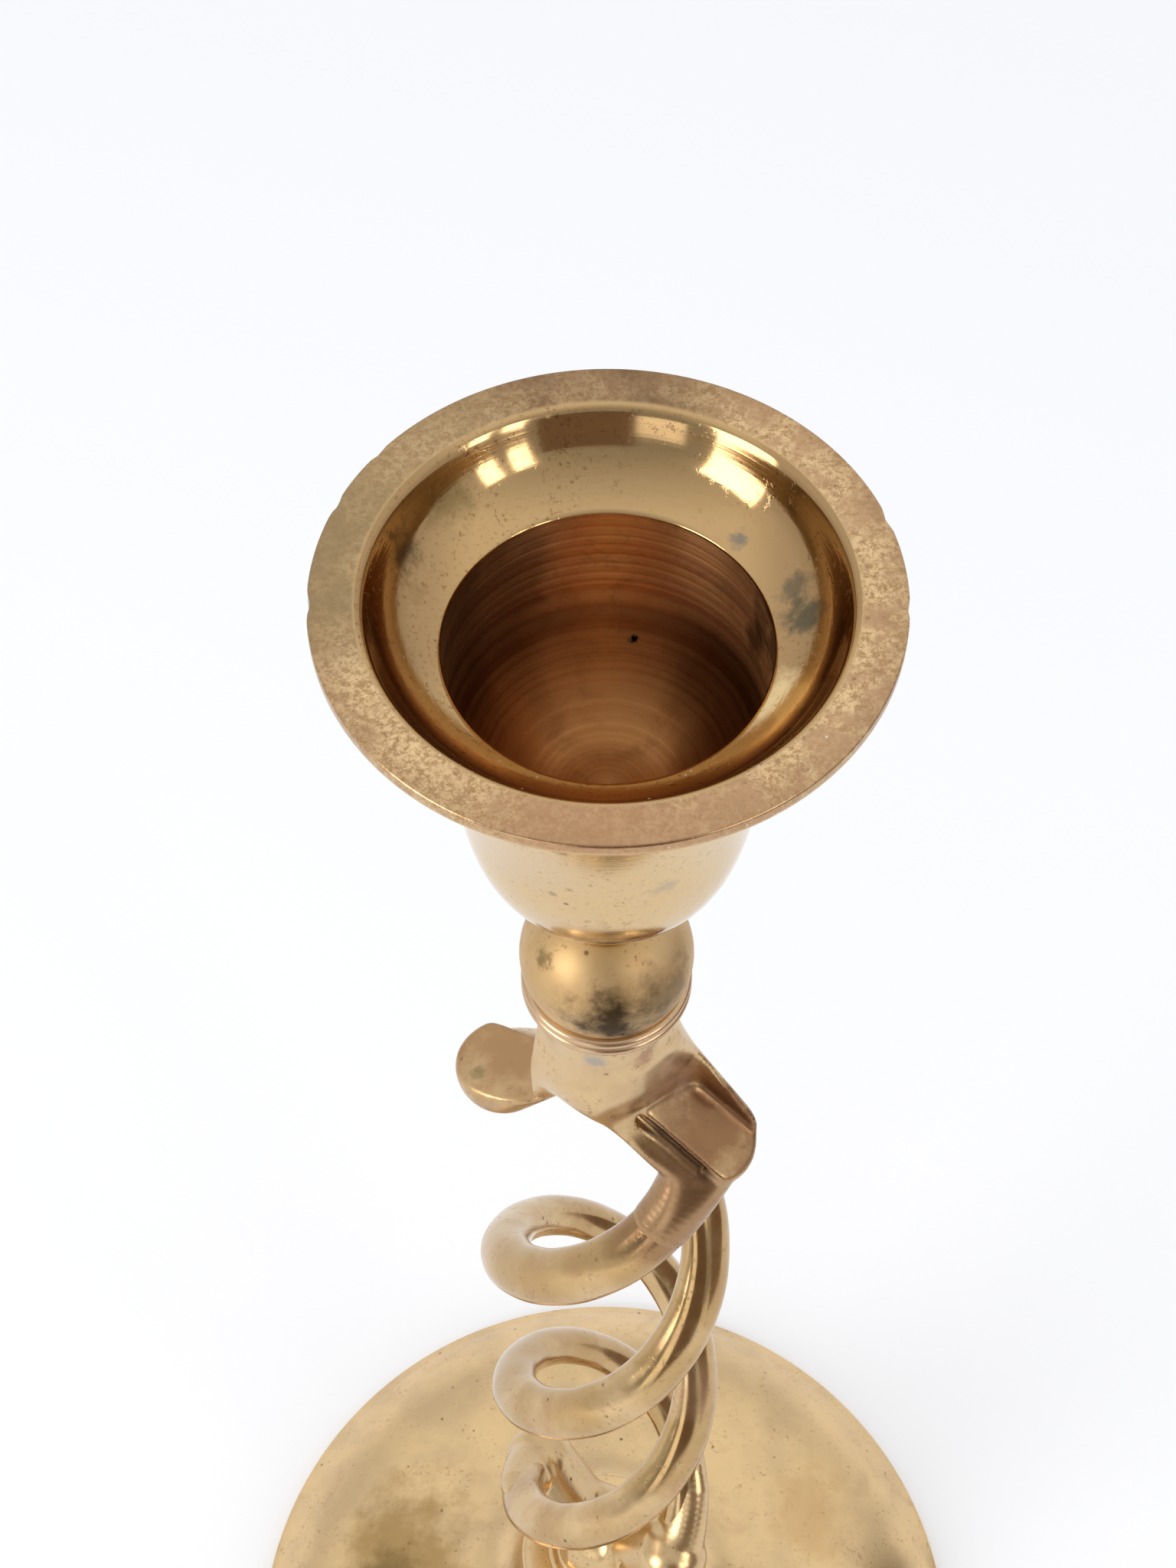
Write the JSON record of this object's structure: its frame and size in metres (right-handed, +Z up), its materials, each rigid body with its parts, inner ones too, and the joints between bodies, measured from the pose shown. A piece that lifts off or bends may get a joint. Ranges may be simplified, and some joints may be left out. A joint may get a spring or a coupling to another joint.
{
  "type": "candle holder",
  "caption": "Brass candle holder with an open spiral stem of two rods, a bell foot, a ball knop and a screw-on flared cup for one candle",
  "frame": {"origin": "middle of the foot's underside, on the stem's axis", "axes": "+Z up along the stem to the cup's rim, -Y towards the picture's viewer, +X to the viewer's right"},
  "size_m": [0.0892, 0.0892, 0.2211],
  "materials": {
    "foot_brass": "aged polish",
    "washer_brass": "dull",
    "bolt_steel": "dull",
    "hub_brass": "aged polish",
    "strand_brass": "aged polish",
    "knop_brass": "aged polish",
    "cup_brass": "aged polish"
  },
  "bodies": {
    "stem": {"bell_foot": "foot_brass", "foot_washer": "washer_brass", "foot_bolt": "bolt_steel", "bottom_hub": "hub_brass", "strand_a": "strand_brass", "strand_b": "strand_brass", "top_hub": "hub_brass", "cup_stud": "bolt_steel"},
    "ball": {"knop": "knop_brass"},
    "cup": {"candle_cup": "cup_brass"}
  },
  "joints": [
    {"name": "cup_unscrew", "type": "hinge", "parent": "stem", "child": "ball", "pos_m": [0, 0, 0.1725], "axis": [0, 0, 1], "range_deg": [0, 2160]},
    {"name": "cup_rise", "type": "slide", "parent": "ball", "child": "cup", "axis": [0, 0, 1], "range_m": [0, 0.00636]}
  ],
  "couplings": [
    {"joint": "cup_rise", "follows": "cup_unscrew", "m_per_rad": 0.0001687}
  ]
}
